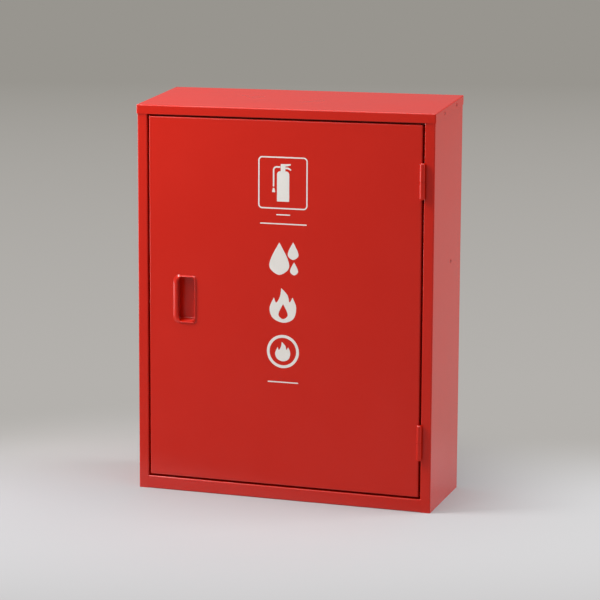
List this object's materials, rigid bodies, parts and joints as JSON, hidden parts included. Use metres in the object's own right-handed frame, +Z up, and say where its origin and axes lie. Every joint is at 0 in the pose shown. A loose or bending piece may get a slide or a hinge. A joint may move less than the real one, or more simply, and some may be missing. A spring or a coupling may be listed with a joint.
{
  "type": "fire extinguisher cabinet",
  "caption": "Red folded-sheet cabinet for fire extinguishers: hinged flush door with a recessed pull and a pictogram, roof sloping to the front, holes for wall bolts.",
  "frame": {"origin": "middle of the cabinet's underside, on the floor it stands on", "axes": "+X to the right seen from the front, towards the hinges; +Y from the front to the back; +Z up"},
  "size_m": [0.4724, 0.173, 0.6158],
  "materials": {
    "red_paint": "baked gloss enamel",
    "pin_steel": "bright",
    "black_plastic": "matt",
    "magnet": "ferrite grey",
    "black_rubber": "matt"
  },
  "bodies": {
    "cabinet": {"left_side": "red_paint", "right_side": "red_paint", "back_panel": "red_paint", "bottom_pan": "red_paint", "header": "red_paint", "roof_cap": "red_paint", "upper_hinge_frame_leaf": "red_paint", "upper_hinge_pin": "pin_steel", "upper_hinge_ring": "red_paint", "lower_hinge_frame_leaf": "red_paint", "lower_hinge_pin": "pin_steel", "lower_hinge_ring": "red_paint", "catch_bracket": "red_paint", "catch_housing": "black_plastic", "catch_magnet": "magnet", "catch_poles": "pin_steel", "upper_bumper": "black_rubber", "lower_bumper": "black_rubber"},
    "door": {"door_panel": "red_paint", "handle_plate": "red_paint", "handle_cup": "red_paint", "handle_grip": "red_paint", "upper_hinge_door_leaf": "red_paint", "lower_hinge_door_leaf": "red_paint", "catch_strike": "pin_steel"}
  },
  "joints": [
    {"name": "door_hinge", "type": "hinge", "parent": "cabinet", "child": "door", "pos_m": [0.2175, -0.0865, 0.3], "axis": [0, 0, 1], "range_deg": [0, 180]}
  ]
}
